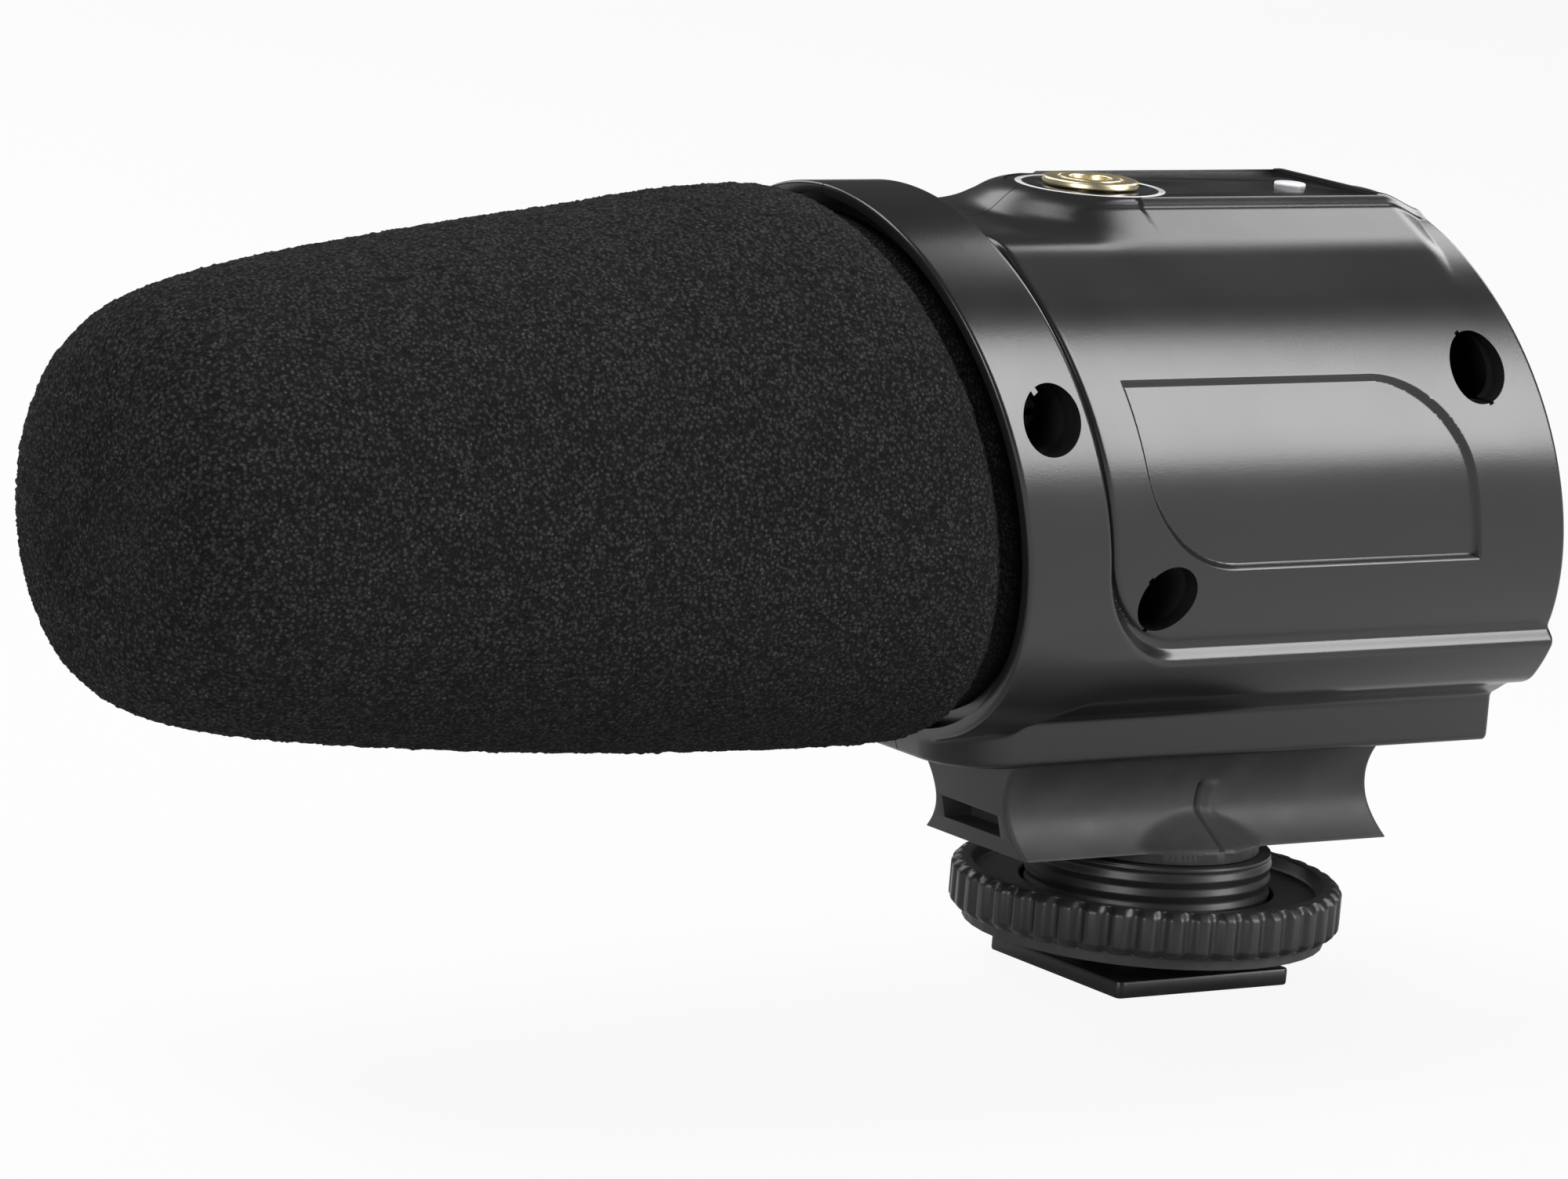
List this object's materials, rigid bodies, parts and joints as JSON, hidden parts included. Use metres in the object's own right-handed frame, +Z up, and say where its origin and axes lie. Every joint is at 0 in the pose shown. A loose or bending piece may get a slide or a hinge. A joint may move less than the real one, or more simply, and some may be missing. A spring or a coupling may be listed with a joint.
{
  "type": "on camera microphone",
  "caption": "Compact on camera microphone: slotted tube in a foam windscreen, raked round housing, waisted rubber block and a shoe foot with a ridged lock ring.",
  "frame": {"origin": "centre of the shoe foot's underside", "axes": "+Z up, square to the foot; -Y is where the foam windscreen points; +X is the side with the screw wells and the label recess"},
  "size_m": [0.0466, 0.1364, 0.0689],
  "materials": {
    "foam": "open cell black foam",
    "tube": "satin black",
    "capsule": "satin",
    "rubber": "satin black rubber",
    "inner_plastic": "matte black",
    "housing": "satin charcoal with a fine grain",
    "screw": "blackened",
    "panel": "gloss black",
    "gold": "pale gold plate",
    "lamp": "milky white",
    "board": "green board",
    "cell": "plain sleeve",
    "steel": "nickel plated",
    "knob": "semi-gloss black",
    "ring": "semi-gloss black",
    "foot": "semi-gloss black"
  },
  "bodies": {
    "microphone": {"slotted_tube": "tube", "front_grille": "tube", "capsule": "capsule", "capsule_holder": "rubber", "tube_socket": "inner_plastic", "housing_left": "housing", "housing_right": "housing", "case_screw_1": "screw", "case_screw_2": "screw", "case_screw_3": "screw", "control_plate": "panel", "output_jack": "gold", "jack_nut": "gold", "lamp_lens": "lamp", "circuit_board": "board", "battery": "cell", "battery_contact_front": "steel", "battery_contact_rear": "steel", "battery_tray": "inner_plastic", "power_switch_body": "inner_plastic", "level_switch_body": "inner_plastic", "rubber_block": "rubber", "block_screw_1": "screw", "block_screw_2": "screw", "threaded_neck": "ring", "neck_nut": "steel", "shoe_foot": "foot"},
    "windscreen": {"foam_windscreen": "foam"},
    "washer": {"grip_washer": "rubber"},
    "ring": {"lock_ring": "ring"},
    "power_knob": {"power_switch_knob": "knob"},
    "level_knob": {"level_switch_knob": "knob"},
    "cover": {"battery_cover": "housing"}
  },
  "joints": [
    {"name": "foam_pull", "type": "slide", "parent": "microphone", "child": "windscreen", "axis": [0, -1, 0], "range_m": [0, 0.07]},
    {"name": "washer_lift", "type": "slide", "parent": "microphone", "child": "washer", "axis": [0, 0, 1], "range_m": [-0.00175, 0.0015]},
    {"name": "ring_turn", "type": "hinge", "parent": "washer", "child": "ring", "pos_m": [0, 0, 0.0066], "axis": [0, 0, 1], "range_deg": [-504, 432]},
    {"name": "power_slide", "type": "slide", "parent": "microphone", "child": "power_knob", "axis": [1, 0, 0], "range_m": [-0.002, 0.002]},
    {"name": "level_slide", "type": "slide", "parent": "microphone", "child": "level_knob", "axis": [1, 0, 0], "range_m": [-0.002, 0.002]},
    {"name": "cover_pull", "type": "slide", "parent": "microphone", "child": "cover", "axis": [-1, 0, 0], "range_m": [0, 0.012]}
  ],
  "couplings": [
    {"joint": "washer_lift", "follows": "ring_turn", "m_per_rad": 0.00019894}
  ]
}
